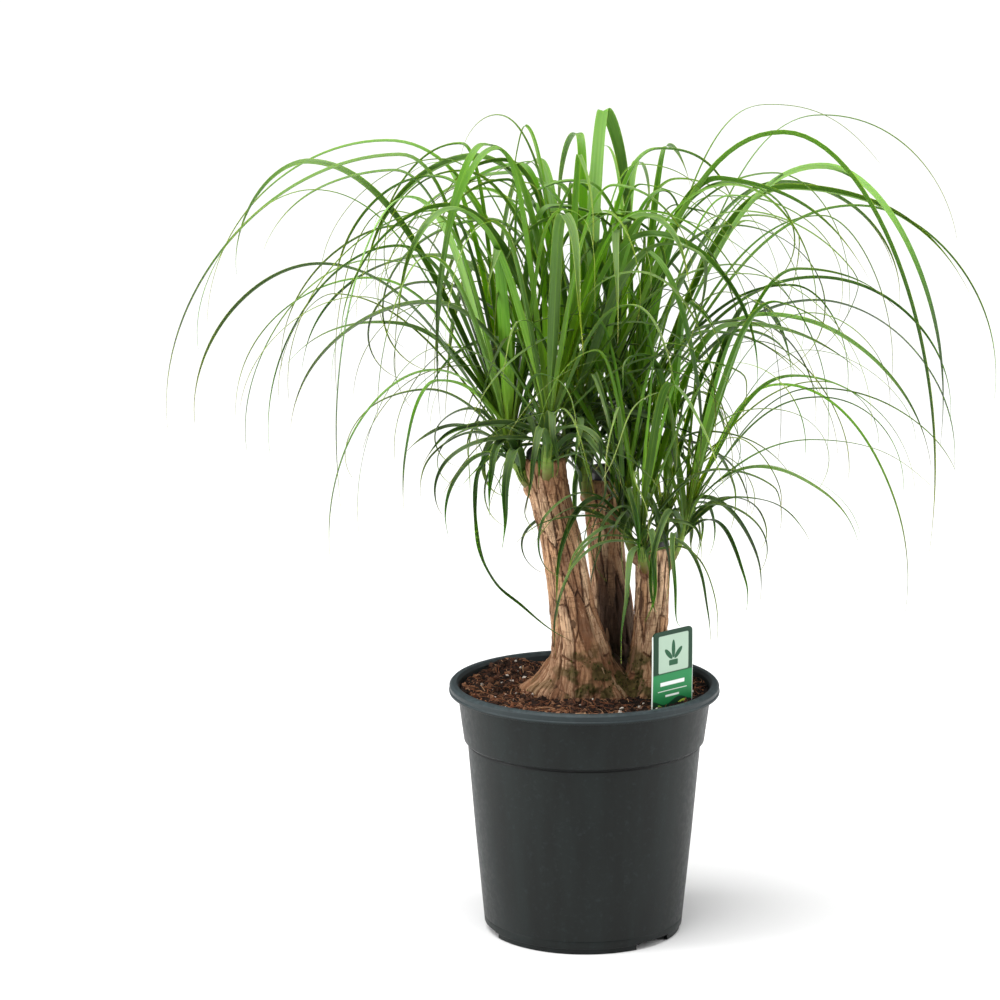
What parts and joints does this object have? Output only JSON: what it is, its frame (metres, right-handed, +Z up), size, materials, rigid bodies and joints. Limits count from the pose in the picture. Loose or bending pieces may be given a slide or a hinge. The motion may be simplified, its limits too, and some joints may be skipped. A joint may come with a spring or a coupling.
{
  "type": "potted ponytail palm",
  "caption": "Ponytail palm with cut canes and arching, thread-tipped leaves, in a round plastic nursery pot filled with soil, with a plain plant label.",
  "frame": {"origin": "centre of the pot's foot, on the surface that the pot stands on", "axes": "+Z up; -Y is the front, where the plant label stands; +X is to the right seen from the front"},
  "size_m": [0.7248, 0.673, 0.7279],
  "materials": {
    "pot": "satin moulded plastic, dark slate green",
    "soil": "loose dark peat with fibres and white grains",
    "bark": "dry fissured bark, mossy at its foot",
    "wax": "matte black wound wax",
    "leaf": "smooth satin leaf",
    "label": "thin glossy card, green with a pale panel"
  },
  "bodies": {
    "root": {"pot": "pot", "soil": "soil", "trunk": "bark", "wound_wax_left": "wax", "wound_wax_middle": "wax", "wound_wax_right": "wax", "plant_label": "label", "head_left_outer": "leaf", "head_left_front": "leaf", "head_left_back": "leaf", "head_middle_front": "leaf", "head_middle_right": "leaf", "head_middle_back": "leaf", "head_right_left": "leaf", "head_right_front": "leaf", "head_right_outer": "leaf", "head_right_back": "leaf"}
  },
  "joints": []
}
